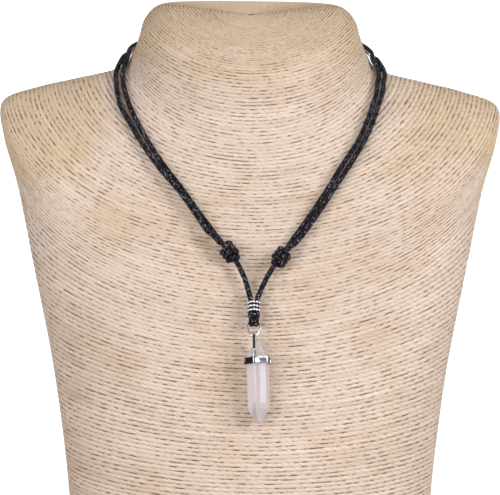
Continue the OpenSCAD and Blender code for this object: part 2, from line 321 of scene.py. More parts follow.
def new_piece(name, verts, faces, uv_name, uvs, smooth):
    """A piece from points and faces, with a UV map by corners and the faces to shade smooth."""
    mesh = bpy.data.meshes.new(name)
    mesh.from_pydata(verts, [], faces)
    layer = mesh.uv_layers.new(name=uv_name)
    layer.data.foreach_set("uv", np.array(uvs, dtype=np.float32).ravel())
    mesh.polygons.foreach_set("use_smooth", smooth)
    return link(name, mesh)


def smooth_line(points, step):
    """Points every step or so along a smooth curve through the given points."""
    p = [Vector(q) for q in points]
    p = [p[0] * 2 - p[1]] + p + [p[-1] * 2 - p[-2]]
    line = []
    for i in range(1, len(p) - 2):
        knots = [0.0]
        for a, b in zip(p[i - 1:i + 2], p[i:i + 3]):
            knots.append(knots[-1] + max((b - a).length, 1e-9) ** 0.5)
        t0, t1, t2, t3 = knots
        count = max(1, round((p[i + 1] - p[i]).length / step))
        for k in range(count):
            t = t1 + (t2 - t1) * k / count
            a1 = p[i - 1] * ((t1 - t) / (t1 - t0)) + p[i] * ((t - t0) / (t1 - t0))
            a2 = p[i] * ((t2 - t) / (t2 - t1)) + p[i + 1] * ((t - t1) / (t2 - t1))
            a3 = p[i + 1] * ((t3 - t) / (t3 - t2)) + p[i + 2] * ((t - t2) / (t3 - t2))
            b1 = a1 * ((t2 - t) / (t2 - t0)) + a2 * ((t - t0) / (t2 - t0))
            b2 = a2 * ((t3 - t) / (t3 - t1)) + a3 * ((t - t1) / (t3 - t1))
            line.append(b1 * ((t2 - t) / (t2 - t1)) + b2 * ((t - t1) / (t2 - t1)))
    line.append(p[-2])
    return line


# The braided cord: points round it, strands each way, relief in metres, and how its ends narrow
CORD_SIDES = 16
BRAID = 2
CORD_RELIEF = 0.00004
END_SIZES = (0.62, 0.9)


def cord_tube(name, line, diameter, lay):
    """A braided tube along a line, with a UV map of length and turn, and rounded ends."""
    count = len(line)
    side = (line[1] - line[0]).normalized().orthogonal().normalized()
    verts, along, run = [], [], 0.0
    for i, at in enumerate(line):
        tangent = (line[min(i + 1, count - 1)] - line[max(i - 1, 0)]).normalized()
        side = (side - tangent * side.dot(tangent)).normalized()
        other = tangent.cross(side)
        if i:
            run += (at - line[i - 1]).length
        along.append(run)
        shift = 2 * pi * run / lay
        near_end = min(i, count - 1 - i)
        end = END_SIZES[near_end] if near_end < len(END_SIZES) else 1.0
        for j in range(CORD_SIDES):
            turn = 2 * pi * j / CORD_SIDES
            wave = max(sin(BRAID * turn + shift), sin(BRAID * turn - shift))
            radius = end * (diameter / 2 - CORD_RELIEF * (1 - wave))
            verts.append(tuple(at + (side * cos(turn) + other * sin(turn)) * radius))
    faces, uvs = [], []
    for i in range(count - 1):
        for j in range(CORD_SIDES):
            k = (j + 1) % CORD_SIDES
            a, b = i * CORD_SIDES, (i + 1) * CORD_SIDES
            faces.append((a + j, a + k, b + k, b + j))
            v0, v1 = j / CORD_SIDES, (j + 1) / CORD_SIDES
            u0, u1 = along[i] / lay, along[i + 1] / lay
            uvs += [(u0, v0), (u0, v1), (u1, v1), (u1, v0)]
    rounds = range(CORD_SIDES)
    for first, u, order in ((0, 0.0, rounds[::-1]), ((count - 1) * CORD_SIDES, run / lay, rounds)):
        faces.append(tuple(first + j for j in order))
        uvs += [(u, j / CORD_SIDES) for j in order]
    return new_piece(name, verts, faces, "Along", uvs, [len(f) == 4 for f in faces])


def poly_curve(name, points, closed, dimensions):
    """A curve of straight stretches through the points."""
    data = bpy.data.curves.new(name, "CURVE")
    data.dimensions = dimensions
    spline = data.splines.new("POLY")
    spline.points.add(len(points) - 1)
    for point, co in zip(spline.points, points):
        point.co = (*co, 1)
    spline.use_cyclic_u = closed
    return link(name, data)


def wire(name, points, radius=0.0, section=(), closed=False):
    """A mesh swept along points: a round wire, or a bar with its own section."""
    obj = poly_curve(name, points, closed, "3D")
    obj.data.twist_mode = "MINIMUM"
    obj.data.use_fill_caps = not closed
    shape = None
    if section:
        shape = poly_curve(name + "_section", [(x, y, 0) for x, y in section], True, "2D")
        obj.data.bevel_mode = "OBJECT"
        obj.data.bevel_object = shape
    else:
        obj.data.bevel_depth = radius
        obj.data.bevel_resolution = 4
    pick(obj)
    bpy.ops.object.convert(target="MESH")
    obj = bpy.context.view_layer.objects.active
    if shape:
        bpy.data.objects.remove(shape)
    edit_mode(obj)
    bpy.ops.mesh.remove_doubles(threshold=0.001)
    bpy.ops.mesh.normals_make_consistent(inside=False)
    object_mode()
    return obj


# Materials

class Nodes:
    """Adds nodes to a tree and links them."""

    def __init__(self, tree):
        self.tree = tree

    def add(self, kind, inputs=None, **settings):
        node = self.tree.nodes.new(kind)
        for key, value in settings.items():
            setattr(node, key, value)
        self.fill(node, inputs or {})
        return node

    def fill(self, node, inputs):
        """Links a node's inputs to sockets, or sets them to values."""
        for key, value in inputs.items():
            if isinstance(value, bpy.types.NodeSocket):
                self.tree.links.new(value, node.inputs[key])
            else:
                node.inputs[key].default_value = value

    def math(self, operation, *values, clamp=False):
        return self.add("ShaderNodeMath", dict(enumerate(values)), operation=operation,
                        use_clamp=clamp).outputs[0]

    def times(self, a, b):
        return self.math("MULTIPLY", a, b)

    def plus(self, a, b):
        return self.math("ADD", a, b)

    def minus(self, a, b):
        return self.math("SUBTRACT", a, b)

    def scaled(self, value, factor, shift, clamp=False):
        """The value times the factor, with the shift added."""
        return self.math("MULTIPLY_ADD", value, factor, shift, clamp=clamp)

    def mix(self, factor, a, b, blend="MIX"):
        return self.add("ShaderNodeMix", {0: factor, 6: a, 7: b}, data_type="RGBA",
                        blend_type=blend).outputs[2]

    def step(self, value, low, high):
        """0 below low, 1 above high, smooth between."""
        return self.add("ShaderNodeMapRange", {0: value, 1: low, 2: high, 3: 0.0, 4: 1.0},
                        interpolation_type="SMOOTHSTEP").outputs[0]

    def band(self, value, start, full, fade, end):
        """1 from full to fade, 0 before start and after end, smooth between."""
        return self.times(self.step(value, start, full),
                          self.minus(1.0, self.step(value, fade, end)))

    def noise(self, vector, scale, detail=2.0, rough=0.5):
        return self.add("ShaderNodeTexNoise", {"Vector": vector, "Scale": scale, "Detail": detail,
                                               "Roughness": rough}).outputs["Fac"]

    def combine(self, x, y):
        return self.add("ShaderNodeCombineXYZ", {0: x, 1: y}).outputs[0]

    def split(self, vector):
        return self.add("ShaderNodeSeparateXYZ", {0: vector}).outputs

    def uv(self, name):
        """The two directions of a piece's own UV map."""
        return self.split(self.add("ShaderNodeUVMap", uv_map=name).outputs[0])

    def here(self):
        return self.add("ShaderNodeTexCoord").outputs["Object"]

    def seen(self):
        """1 where the camera sees a surface itself, 0 where the surface only lights others."""
        return self.add("ShaderNodeLightPath").outputs["Is Camera Ray"]

    def shared(self, tree, inputs):
        """A shared node group with this material's own values."""
        return self.add("ShaderNodeGroup", inputs, node_tree=tree).outputs

    def bump(self, height, strength, distance):
        return self.add("ShaderNodeBump", {"Height": height, "Strength": strength,
                                           "Distance": distance}).outputs[0]


def rgba(colour):
    return (*colour, 1.0)


def once(name, fill, *values):
    """The material of that name, filled the first time it is asked for."""
    material = bpy.data.materials.get(name)
    if not material:
        material = bpy.data.materials.new(name)
        material.use_nodes = True
        material.node_tree.nodes.clear()
        nodes = Nodes(material.node_tree)
        shader = nodes.add("ShaderNodeBsdfPrincipled")
        nodes.add("ShaderNodeOutputMaterial", {"Surface": shader.outputs[0]})
        fill(nodes, shader, *values)
    return material


def group(name, inputs, outputs, fill):
    """The node group of that name, made and filled the first time it is asked for."""
    tree = bpy.data.node_groups.get(name)
    if not tree:
        tree = bpy.data.node_groups.new(name, "ShaderNodeTree")
        for key, kind, value in inputs:
            socket = tree.interface.new_socket(key, in_out="INPUT", socket_type="NodeSocket" + kind)
            if value is not None:
                socket.default_value = value
        for key, kind in outputs:
            tree.interface.new_socket(key, in_out="OUTPUT", socket_type="NodeSocket" + kind)
        nodes = Nodes(tree)
        given = nodes.add("NodeGroupInput").outputs
        nodes.fill(nodes.add("NodeGroupOutput"), fill(nodes, given))
    return tree


def strand_values(nodes, given):
    """The strands' rounded height, and the parting between two of them, which the rope paints as
    shade
    """
    place = nodes.combine(given["Along"], given["Seed"])
    wander = nodes.times(nodes.noise(place, 0.35, 1.0), given["Unevenness"])
    phase = nodes.plus(given["Along"], wander)
    phase = nodes.scaled(given["Across"], given["Slant"], phase)
    wave = nodes.math("ABSOLUTE", nodes.math("SINE", nodes.times(phase, pi)))
    return {"Height": nodes.math("POWER", wave, 0.5),
            "Parting": nodes.minus(1.0, nodes.step(wave, 0.0, 0.45))}


def twisted_strands():
    """Shared by the rope and the cord: strands that cross a round cord at a slant."""
    return group("Twisted Strands",
                 [("Along", "Float", 0.0), ("Across", "Float", 0.0), ("Slant", "Float", 1.0),
                  ("Unevenness", "Float", 0.3), ("Seed", "Float", 0.0)],
                 [("Height", "Float"), ("Parting", "Float")], strand_values)


def film_values(nodes, given):
    """Colour, roughness and relief of silver under a cloudy film"""
    cloud = nodes.noise(given["Place"], 900.0, 3.0, 0.6)
    mask = nodes.times(nodes.step(cloud, 0.45, 0.75), given["Amount"])
    fine = nodes.noise(given["Place"], 6000.0)
    return {"Colour": nodes.mix(mask, given["Clean"], given["Dark"]),
            "Roughness": nodes.scaled(fine, 0.12, nodes.scaled(mask, 0.3, 0.10)),
            "Height": fine}


def tarnish():
    """Shared by the silver pieces: cloudy tarnish and fine scratches."""
    return group("Tarnish",
                 [("Place", "Vector", None), ("Clean", "Color", (0.8, 0.8, 0.8, 1)),
                  ("Dark", "Color", (0.05, 0.05, 0.06, 1)), ("Amount", "Float", 0.2)],
                 [("Colour", "Color"), ("Roughness", "Float"), ("Height", "Float")], film_values)


def rope_finish(nodes, shader, rope):
    """Matt twisted rope: turns by the UV map's second axis, metres along them by its first."""
    # Where the crown's darker lines of painted shade, the neck and the shoulders begin and are
    # full, in metres
    crown_z, neck_z = (0.188, 0.207), (0.165, 0.208)
    shoulder_x, shoulder_z = (0.052, 0.085), (0.125, 0.155)
    dash_slant = 0.0022
    axis = nodes.uv("Rope")
    along = nodes.math("DIVIDE", axis[0], rope.lay)
    row = nodes.math("FLOOR", axis[1])
    across = nodes.math("FRACT", axis[1])
    own = nodes.add("ShaderNodeTexWhiteNoise", {"W": row}, noise_dimensions="1D").outputs["Value"]
    strands = nodes.shared(twisted_strands(), {
        "Along": nodes.plus(along, nodes.times(own, 17.0)), "Across": nodes.minus(across, 0.5),
        "Slant": -0.9, "Unevenness": 2.2, "Seed": row})
    # The groove between two turns, and the painted shade in it: dark dashes where the turns part
    edge = nodes.math("ABSOLUTE", nodes.scaled(across, 2.0, -1.0))
    groove = nodes.step(edge, 0.52, 0.95)
    groove_row = nodes.math("FLOOR", nodes.plus(axis[1], 0.5))
    slanted = nodes.scaled(nodes.minus(axis[1], groove_row), dash_slant, axis[0])
    dash_at = nodes.combine(nodes.math("DIVIDE", slanted, rope.lay), nodes.times(groove_row, 3.7))
    here = nodes.here()
    x, _, up = nodes.split(here)
    loose = nodes.scaled(nodes.noise(here, 110.0), 0.22, -0.11)
    dash = nodes.step(nodes.plus(nodes.noise(dash_at, 1.15, 3.0, 0.65), loose), 0.42, 0.64)
    # The thin line of painted shade between two turns, darker round the crown
    line = nodes.times(nodes.step(edge, 0.80, 1.0),
                       nodes.scaled(nodes.step(up, *crown_z), 0.34, 0.36))
    painted_gap_shade = nodes.math("MAXIMUM", nodes.times(groove, nodes.times(dash, 0.95)), line)
    # The parting between the strands adds painted shade as well
    painted_gap_shade = nodes.scaled(strands["Parting"], 0.20, painted_gap_shade, clamp=True)
    # Slow changes of colour over the bust and from turn to turn, pinker on the chest
    slow = nodes.noise(here, 38.0, 3.0, 0.6)
    turn_at = nodes.combine(nodes.times(along, 0.12), nodes.times(row, 5.3))
    turn_tone = nodes.noise(turn_at, 1.0, 1.0)
    shoulder = nodes.times(nodes.step(nodes.math("ABSOLUTE", x), *shoulder_x),
                           nodes.step(up, *shoulder_z))
    chest = nodes.minus(0.25, nodes.math("MAXIMUM", nodes.step(up, *neck_z), shoulder))
    blush = nodes.plus(slow, nodes.scaled(turn_tone, 0.35, -0.175))
    blush = nodes.step(nodes.scaled(chest, 0.45, blush), 0.25, 0.75)
    body = nodes.mix(blush, rgba(rope.colour), rgba(rope.blush))
    # Fibres, as light and dark and as relief
    fibre_at = nodes.combine(nodes.times(along, 1.2), nodes.times(axis[1], 9.0))
    fibre = nodes.noise(fibre_at, 1.6, 3.0, 0.65)
    tone = nodes.scaled(fibre, 0.34, nodes.scaled(turn_tone, 0.26, 0.66))
    grey = nodes.add("ShaderNodeCombineColor", {0: tone, 1: tone, 2: tone}).outputs[0]
    body = nodes.mix(1.0, body, grey, "MULTIPLY")
    height = nodes.scaled(strands["Height"], 0.55, nodes.times(fibre, 0.35))
    height = nodes.minus(height, nodes.times(painted_gap_shade, 0.9))
    nodes.fill(shader, {"Base Color": nodes.mix(painted_gap_shade, body, rgba(rope.gap)), "Roughness": 0.82,
                        "Specular IOR Level": 0.12, "Normal": nodes.bump(height, 0.75, 0.00028)})


def cord_finish(nodes, shader, cord):
    """Black waxed braid, with pale grey flecks of painted highlight on its strands' crests"""
    strands_round = 4.0
    axis = nodes.uv("Along")
    along, across = (nodes.times(axis[i], strands_round) for i in (0, 1))
    pair = [nodes.shared(twisted_strands(), {"Along": along, "Across": across, "Slant": slant,
                                             "Unevenness": 0.25}) for slant in (1.0, -1.0)]
    height = nodes.times(pair[0]["Height"], pair[1]["Height"])
    parting = nodes.math("MAXIMUM", pair[0]["Parting"], pair[1]["Parting"])
    here = nodes.here()
    # Painted highlight: pale flecks on the strands' crests, standing in for glints
    glint_flecks = nodes.times(nodes.step(nodes.noise(here, 1700.0, 1.0), 0.60, 0.68), height)
    wax = nodes.scaled(nodes.noise(here, 1500.0), 0.20, 0.12)
    nodes.fill(shader, {"Base Color": nodes.mix(glint_flecks, rgba(cord.colour), rgba(cord.glint)),
                        "Roughness": nodes.scaled(parting, 0.35, wax, clamp=True),
                        "Specular IOR Level": 0.12, "Normal": nodes.bump(height, 1.0, 0.00022)})


def silver_finish(nodes, shader, silver, dark):
    film = nodes.shared(tarnish(), {
        "Place": nodes.here(), "Clean": rgba(silver.dark if dark else silver.colour),
        "Dark": rgba(silver.dark), "Amount": 0.6 if dark else 0.12})
    nodes.fill(shader, {"Base Color": film["Colour"], "Roughness": film["Roughness"],
                        "Metallic": 1.0, "Normal": nodes.bump(film["Height"], 0.12, 0.00003)})


def silvers(silver):
    """The polished silver, and the darkened silver of its recesses and of the faces painted dark as
    painted reflections
    """
    return (once("Silver", silver_finish, silver, False),
            once("Darkened Silver", silver_finish, silver, True))


def quartz_finish(nodes, shader, stone):
    """Milky quartz with a painted shade on its front, painted light streaks and a painted glow, by
    millimetres across the stone and up it
    """
    front_shade_tint = (0.79, 0.775, 0.75)
    # Edges of the front's painted shade, of the painted light streaks' reach up the stone and of
    # each streak
    front_shade_x, painted_streak_z = (-2.1, -1.7, 3.4, 4.2), (-8.6, -7.4, 8.6, 9.4)
    painted_streak_xs = (-2.05, -1.75, -1.0, -0.7), (0.55, 0.9, 2.9, 3.25)
    cloud = nodes.noise(nodes.here(), 260.0, 3.0, 0.6)
    veil = nodes.step(cloud, 0.40, 0.70)
    axis = nodes.uv("Stone")
    bow = nodes.times(nodes.math("POWER", nodes.times(axis[1], 0.09), 2.0), 0.5)
    across = nodes.plus(axis[0], bow)
    reach = nodes.band(axis[1], *painted_streak_z)
    painted_streak = nodes.math("MAXIMUM", *(nodes.times(nodes.band(across, *edges), reach)
                                     for edges in painted_streak_xs))
    # The front is painted darker, a painted shade
    front = nodes.band(across, *front_shade_x)
    milky = nodes.minus(1.0, nodes.times(front, nodes.scaled(veil, -0.3, 1.0)))
    clear = tuple(tint * c for tint, c in zip(front_shade_tint, stone.colour))
    body = nodes.mix(milky, rgba(clear), rgba(stone.colour))
    # A painted glow: emission along the painted streaks and, at half strength, where the stone is
    # milky
    glow = nodes.math("MAXIMUM", painted_streak, nodes.times(milky, 0.5))
    nodes.fill(shader, {
        "Base Color": nodes.mix(nodes.times(painted_streak, 0.8), body, rgba(stone.painted_streak)),
        "Emission Color": nodes.mix(glow, (0, 0, 0, 1), rgba(stone.painted_streak)),
        "Emission Strength": 0.08, "Roughness": 0.07, "IOR": 1.54, "Specular IOR Level": 0.12,
        "Transmission Weight": 0.3, "Subsurface Weight": 0.6,
        "Subsurface Radius": (0.006, 0.005, 0.005), "Subsurface Scale": 1.0,
        "Normal": nodes.bump(cloud, 0.15, 0.0001)})


def paper_finish(nodes, shader, stage):
    grain = nodes.noise(nodes.here(), 60.0, 3.0)
    soft = rgba(0.985 * c for c in stage.floor)
    nodes.fill(shader, {"Base Color": nodes.mix(grain, rgba(stage.floor), soft), "Roughness": 0.9,
                        "Emission Color": (1.0, 1.0, 1.0, 1.0),
                        "Emission Strength": nodes.times(nodes.seen(), 1.1)})


# Operators, one for each piece or group of like pieces

class NECKLACE_OT_camera(bpy.types.Operator):
    """Adds the camera at the photo's viewing angle"""
    bl_idname = "necklace.camera"
    bl_label = "Camera"

    def execute(self, context):
        stage = context.scene.necklace_stage
        chest = Vector((0.0, -0.043, 0.108))
        back = Vector((0.0, -cos(stage.elevation), sin(stage.elevation)))
        bpy.ops.object.camera_add(location=chest + back * stage.distance,
                                  rotation=(pi / 2 - stage.elevation, 0.0, 0.0))
        camera = context.object
        camera.name = "view"
        camera.data.sensor_width = 36.0
        camera.data.lens = stage.focal
        context.scene.camera = camera
        return {"FINISHED"}


class NECKLACE_OT_cords(bpy.types.Operator):
    """Adds the two halves of the cord, from the sleeve round the neck to the knots"""
    bl_idname = "necklace.cords"
    bl_label = "Cord"

    def execute(self, context):
        cord = context.scene.necklace_cord
        material = once("Waxed Cord", cord_finish, cord)
        for node, route in (("cord_left", ROUTE_LEFT), ("cord_right", ROUTE_RIGHT)):
            line = smooth_line([Vector(p) * MM for p in route], 0.0005)
            piece = cord_tube("waxed_" + node, line, cord.diameter, cord.lay)
            dress(piece, material, "cord", DISPLAY, node)
        return {"FINISHED"}


class NECKLACE_OT_knots(bpy.types.Operator):
    """Adds the two sliding knots, each wound from the other half's end, with a cut end"""
    bl_idname = "necklace.knots"
    bl_label = "Sliding Knots"

    def execute(self, context):
        cord = context.scene.necklace_cord
        material = once("Waxed Cord", cord_finish, cord)
        radius, pitch, turns, steps, stub_length = 2.45, 2.0, 2.75, 16, 5.2
        for node, (at, axis, stub, route) in KNOTS.items():
            axis = axis.normalized()
            start = Vector(route[-1]) - at
            side = (start - axis * start.dot(axis)).normalized()
            other = axis.cross(side)
            points = [start]
            for i in range(1, int(turns * steps) + 1):
                angle = 2 * pi * i / steps
                up = pitch * turns / 2 - pitch * i / steps
                points.append((side * cos(angle) + other * sin(angle)) * radius + axis * up)
            points.append(stub.normalized() * stub_length)
            line = smooth_line([(at + p) * MM for p in points], 0.0004)
            piece = cord_tube("wound_" + node, line, cord.wrap, cord.lay)
            dress(piece, material, "cord", DISPLAY, node)
        return {"FINISHED"}


class NECKLACE_OT_hitch(bpy.types.Operator):
    """Adds the hitch that ties the doubled cord to the jump ring"""
    bl_idname = "necklace.hitch"
    bl_label = "Hitch"

    def execute(self, context):
        cord = context.scene.necklace_cord
        seat = leaning(RING_TOP, SLEEVE_LEAN)
        loop_x, loop_r, loop_z, spread = 1.02, 1.5, -0.12, 0.012
        outer_size, inner_size, bar_size = 0.00204, 0.0017, 0.0019
        runs = []
        for way, size in ((-1, outer_size), (1, outer_size), (0, inner_size)):
            x = way * loop_x
            points = [(x, 0.15, HITCH_TOP), (x, 0.2, 2.2), (x, -0.4, 1.6)]
            for i in range(14):
                angle = radians(160 + 24 * i)
                points.append((x - way * spread * i, loop_r * cos(angle),
                               loop_z + loop_r * sin(angle)))
            runs.append(("hitch_loop", points, size))
        bar = [(-1.45, 0.9, 1.5), (-1.5, -0.2, 1.9), (-1.0, -1.2, 1.95), (0.0, -1.4, 1.95),
               (1.0, -1.2, 1.95), (1.5, -0.2, 1.9), (1.45, 0.9, 1.5)]
        runs.append(("hitch_bar", bar, bar_size))
        parts = []
        for name, points, size in runs:
            line = smooth_line([seat @ Vector(p) for p in points], 0.0003)
            parts.append(cord_tube(name, line, size, cord.lay))
        piece = join(parts, "tied_hitch")
        dress(piece, once("Waxed Cord", cord_finish, cord), "cord", DISPLAY, "cord_hitch")
        return {"FINISHED"}


class NECKLACE_OT_sleeve(bpy.types.Operator):
    """Adds the silver sleeve with its rows of granules"""
    bl_idname = "necklace.sleeve"
    bl_label = "Sleeve"

    def execute(self, context):
        silver = context.scene.necklace_silver
        bright, dark = silvers(silver)
        length, wall_r, bore_r = 4.9, 2.5, 2.32
        grain_r, grain_at, grain_flat = 0.72, 2.18, 0.92
        deselect()
        bpy.ops.mesh.primitive_cylinder_add(vertices=48, radius=wall_r, depth=length,
                                            end_fill_type="NOTHING")
        tube = bpy.context.object
        wall(tube, wall_r - bore_r)
        bevel(tube, 0.06, 2)
        apply_modifiers(tube)
        two_tone(tube, bright, dark, lambda face: True)
        deselect()
        bpy.ops.mesh.primitive_ico_sphere_add(subdivisions=3, radius=grain_r)
        grain = bpy.context.object
        grain.data.materials.append(bright)
        turns = [2 * pi * i / silver.grains - pi / 2 for i in range(silver.grains)]
        row_h = length / 3
        grains = copies(grain, [
            Matrix.Translation((grain_at * cos(turn), grain_at * sin(turn), z))
            @ Matrix.Diagonal((1.0, 1.0, grain_flat, 1.0))
            for z in (-row_h, 0.0, row_h) for turn in turns])
        piece = join([tube] + grains, "granule_sleeve")
        shade(piece)
        seat = Matrix.Translation((0, 0, HITCH_TOP + 0.1 + length / 2))
        place(piece, "granule_sleeve", leaning(RING_TOP, SLEEVE_LEAN) @ seat)
        dress(piece, bright, "silver", DISPLAY, "sleeve_bead")
        return {"FINISHED"}


class NECKLACE_OT_jump_ring(bpy.types.Operator):
    """Adds the drop shaped jump ring of round wire"""
    bl_idname = "necklace.jump_ring"
    bl_label = "Jump Ring"

    def execute(self, context):
        silver = context.scene.necklace_silver
        top_r, low_r = 2.6, 1.5
        line = SWING - RING_TOP
        drop = line.length
        taper = asin((top_r - low_r) / (drop - top_r - low_r))
        points = []
        for radius, middle, start, end, steps in (
                (top_r, -top_r, -taper, pi + taper, 40),
                (low_r, low_r - drop, pi + taper, 2 * pi - taper, 24)):
            for i in range(steps + 1):
                angle = start + (end - start) * i / steps
                points.append((radius * cos(angle), 0.0, middle + radius * sin(angle)))
        ring = wire("drop_ring", points, radius=silver.wire / 2 / MM, closed=True)
        shade(ring)
        place(ring, "drop_ring", leaning(RING_TOP, degrees(atan2(-line.y, -line.z))))
        dress(ring, silvers(silver)[0], "silver", DISPLAY, "jump_ring")
        return {"FINISHED"}


# The cap's band, in millimetres below the swing's axis, and how deep its panels are sunk
BAND_TOP = -8.7
BAND_H = 2.6
BAND_R = 5.45
PANEL_SUNK = 0.14


class NECKLACE_OT_cap(bpy.types.Operator):
    """Adds the cap: a hexagonal band with framed panels, and the strap over the stone"""
    bl_idname = "necklace.cap"
    bl_label = "Cap"

    def band(self, bright, dark):
        """The hexagonal band with its framed panels, every other face painted dark as a painted
        reflection.
        """
        # The faces painted dark, as a painted reflection of dark surroundings
        def painted_dark_side(face):
            turn = degrees(atan2(face.normal.y, face.normal.x)) + STONE_TURN
            return round(turn / 60) % 2 == 0

        frame_w, step_w, wall_t = 0.38, 0.05, 0.44
        deselect()
        bpy.ops.mesh.primitive_cylinder_add(vertices=6, radius=BAND_R, depth=BAND_H,
                                            end_fill_type="NOTHING",
                                            rotation=(0, 0, radians(-STONE_TURN)))
        band = bpy.context.object
        apply_place()
        edit_mode(band)
        bpy.ops.mesh.inset(thickness=frame_w, depth=0.0, use_individual=True)
        bpy.ops.mesh.inset(thickness=step_w, depth=-PANEL_SUNK, use_individual=True)
        object_mode()
        two_tone(band, bright, dark, painted_dark_side)
        wall(band, wall_t, even=True)
        bevel(band, 0.07, 2)
        apply_modifiers(band)
        return band

    def ornament(self, dark):
        """Lozenges and beads between the frames, on every other face."""
        out, spacing = BAND_R * cos(pi / 6) - PANEL_SUNK + 0.02, 0.66
        deselect()
        bpy.ops.mesh.primitive_ico_sphere_add(subdivisions=2, radius=0.17)
        bead = bpy.context.object
        deselect()
        bpy.ops.mesh.primitive_cone_add(vertices=4, radius1=0.62, radius2=0.12, depth=0.16,
                                        rotation=(0, 0, pi / 4))
        lozenge = bpy.context.object
        apply_place()
        parts = []
        for part, steps in ((lozenge, (-2, 0, 2)), (bead, (-3, -1, 1, 3))):
            part.data.materials.append(dark)
            parts += copies(part, [
                Matrix.Rotation(radians(-60 - STONE_TURN + 60 * side), 4, "Z")
                @ Matrix.Translation((out, spacing * step, 0))
                @ Matrix.Rotation(pi / 2, 4, "Y") @ Matrix.Diagonal((1.15, 0.72, 1.0, 1.0))
                for side in range(0, 6, 2) for step in steps])
        return parts

    def strap(self, bright, dark):
        """The strap, from the band's front up, round the swing's axis and down behind."""
        front, back, shoulder, foot = -5.25, 4.6, -6.2, BAND_TOP - BAND_H + 0.1
        eye_r, eye_start, eye_end, leg_top, leg_low = 0.9, 200, -20, -7.0, -7.4
        half, thick, groove, groove_top, groove_low = 0.6, 0.25, 0.13, 0.36, 0.28
        soft_side, soft_top = 0.06, 0.07
        # Half width and lowest height of the painted dark reflection down the middle of the strap's
        # upper part
        painted_dark_half, painted_dark_above = 0.33, -5.5

        def eye(angle):
            return Vector((0, eye_r * cos(radians(angle)), eye_r * sin(radians(angle))))

        def toward(corner, touch, share):
            return touch * share + corner * (1 - share)

        corner, touch = Vector((0, front, shoulder)), eye(eye_start)
        points = [(0, front, foot), (0, front, leg_low)]
        points += smooth_line([(0, front, leg_top), corner, toward(corner, touch, 0.35)], 0.4)
        points += smooth_line([toward(corner, touch, 0.4), toward(corner, touch, 0.75)], 0.5)
        points += [eye(angle) for angle in range(eye_start, eye_end - 1, -20)]
        corner, touch = Vector((0, back, shoulder)), eye(eye_end)
        points += [toward(corner, touch, 0.6)]
        points += smooth_line([toward(corner, touch, 0.35), corner, (0, back, leg_top)], 0.4)
        points += [(0, back, leg_low), (0, back, foot)]
        right = [(half, -thick), (half, thick - soft_side), (half - soft_top, thick),
                 (groove_top, thick), (groove_low, thick - groove)]
        left = [(-x, y) for x, y in reversed(right)]
        strap = wire("strap", points, section=left[-1:] + right + left[:-1])
        two_tone(strap, bright, dark,
                 lambda face: abs(face.center.x) < painted_dark_half and face.center.z > painted_dark_above)
        return strap

    def execute(self, context):
        bright, dark = silvers(context.scene.necklace_silver)
        seat = leaning(SWING, PENDANT_LEAN, PENDANT_TILT)
        ring = join([self.band(bright, dark)] + self.ornament(dark), "band")
        shade(ring, 30)
        place(ring, "hexagon_band", seat @ Matrix.Translation((STONE_X, 0, BAND_TOP - BAND_H / 2)))
        strap = self.strap(bright, dark)
        shade(strap, 35)
        place(strap, "arched_strap", seat)
        for piece in (ring, strap):
            dress(piece, bright, "silver", PENDANT, "cap")
        return {"FINISHED"}


class NECKLACE_OT_stone(bpy.types.Operator):
    """Adds the double pointed quartz stone"""
    bl_idname = "necklace.stone"
    bl_label = "Quartz Point"

    def execute(self, context):
        stone = context.scene.necklace_stone
        top, upper, lower, blunt = -0.9, 7.9, 5.9, 1.0
        length, wide, low_wide = stone.length / MM, stone.width / MM, 8.6
        tip_r, taper_r, blunt_r, facet_angle = 0.35, 1.75, 0.5, 12
        shaft = length - upper - lower
        deselect()
        bpy.ops.mesh.primitive_cylinder_add(vertices=6, radius=wide / 2, depth=shaft,
                                            rotation=(0, 0, radians(-STONE_TURN)))
        crystal = bpy.context.object
        apply_place()
        # Up or down, how far an end grows and how much narrower it gets
        grow = [(1, upper, tip_r / (wide / 2)), (-1, 0.0, low_wide / wide),
                (-1, lower - blunt, taper_r / (low_wide / 2)), (-1, blunt, blunt_r / taper_r)]
        for way, rise, shrink in grow:
            z = next(face.center.z for face in crystal.data.polygons if face.normal.z * way > 0.99)
            edit_where(crystal, "FACE", lambda face: face.normal.z * way > 0.99)
            if rise:
                move = {"value": (0, 0, way * rise)}
                bpy.ops.mesh.extrude_region_move(TRANSFORM_OT_translate=move)
            bpy.ops.transform.resize(value=(shrink, shrink, 1), center_override=(0, 0, z))
            object_mode()
        bevel(crystal, 0.10, 2, facet_angle)
        apply_modifiers(crystal)
        shade(crystal, facet_angle)
        layer = crystal.data.uv_layers.new(name="Stone")
        for loop in crystal.data.loops:
            at = crystal.data.vertices[loop.vertex_index].co
            layer.data[loop.index].uv = (at.x, at.z)
        seat = Matrix.Translation((STONE_X, 0, top - upper - shaft / 2))
        place(crystal, "quartz_crystal", leaning(SWING, PENDANT_LEAN, PENDANT_TILT) @ seat)
        material = once("Milky Quartz", quartz_finish, stone)
        dress(crystal, material, "quartz", PENDANT, "quartz_point")
        return {"FINISHED"}


# The bust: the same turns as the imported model, with the rope's rounded crests between grooves

def winding_at(t):
    """The winding table's row at each t, on smooth curves through its rows."""
    last = len(WINDING) - 1
    t = np.clip(t, 0.0, last)
    i = np.minimum(np.floor(t).astype(int), last - 1)
    f = (t - i)[..., None]
    padded = np.vstack([2 * WINDING[0] - WINDING[1], WINDING, 2 * WINDING[-1] - WINDING[-2]])
    a, b, c, d = (padded[i + k] for k in range(4))
    return 0.5 * (2 * b + (c - a) * f + (2 * a - 5 * b + 4 * c - d) * f ** 2
                  + (3 * b - a - 3 * c + d) * f ** 3)


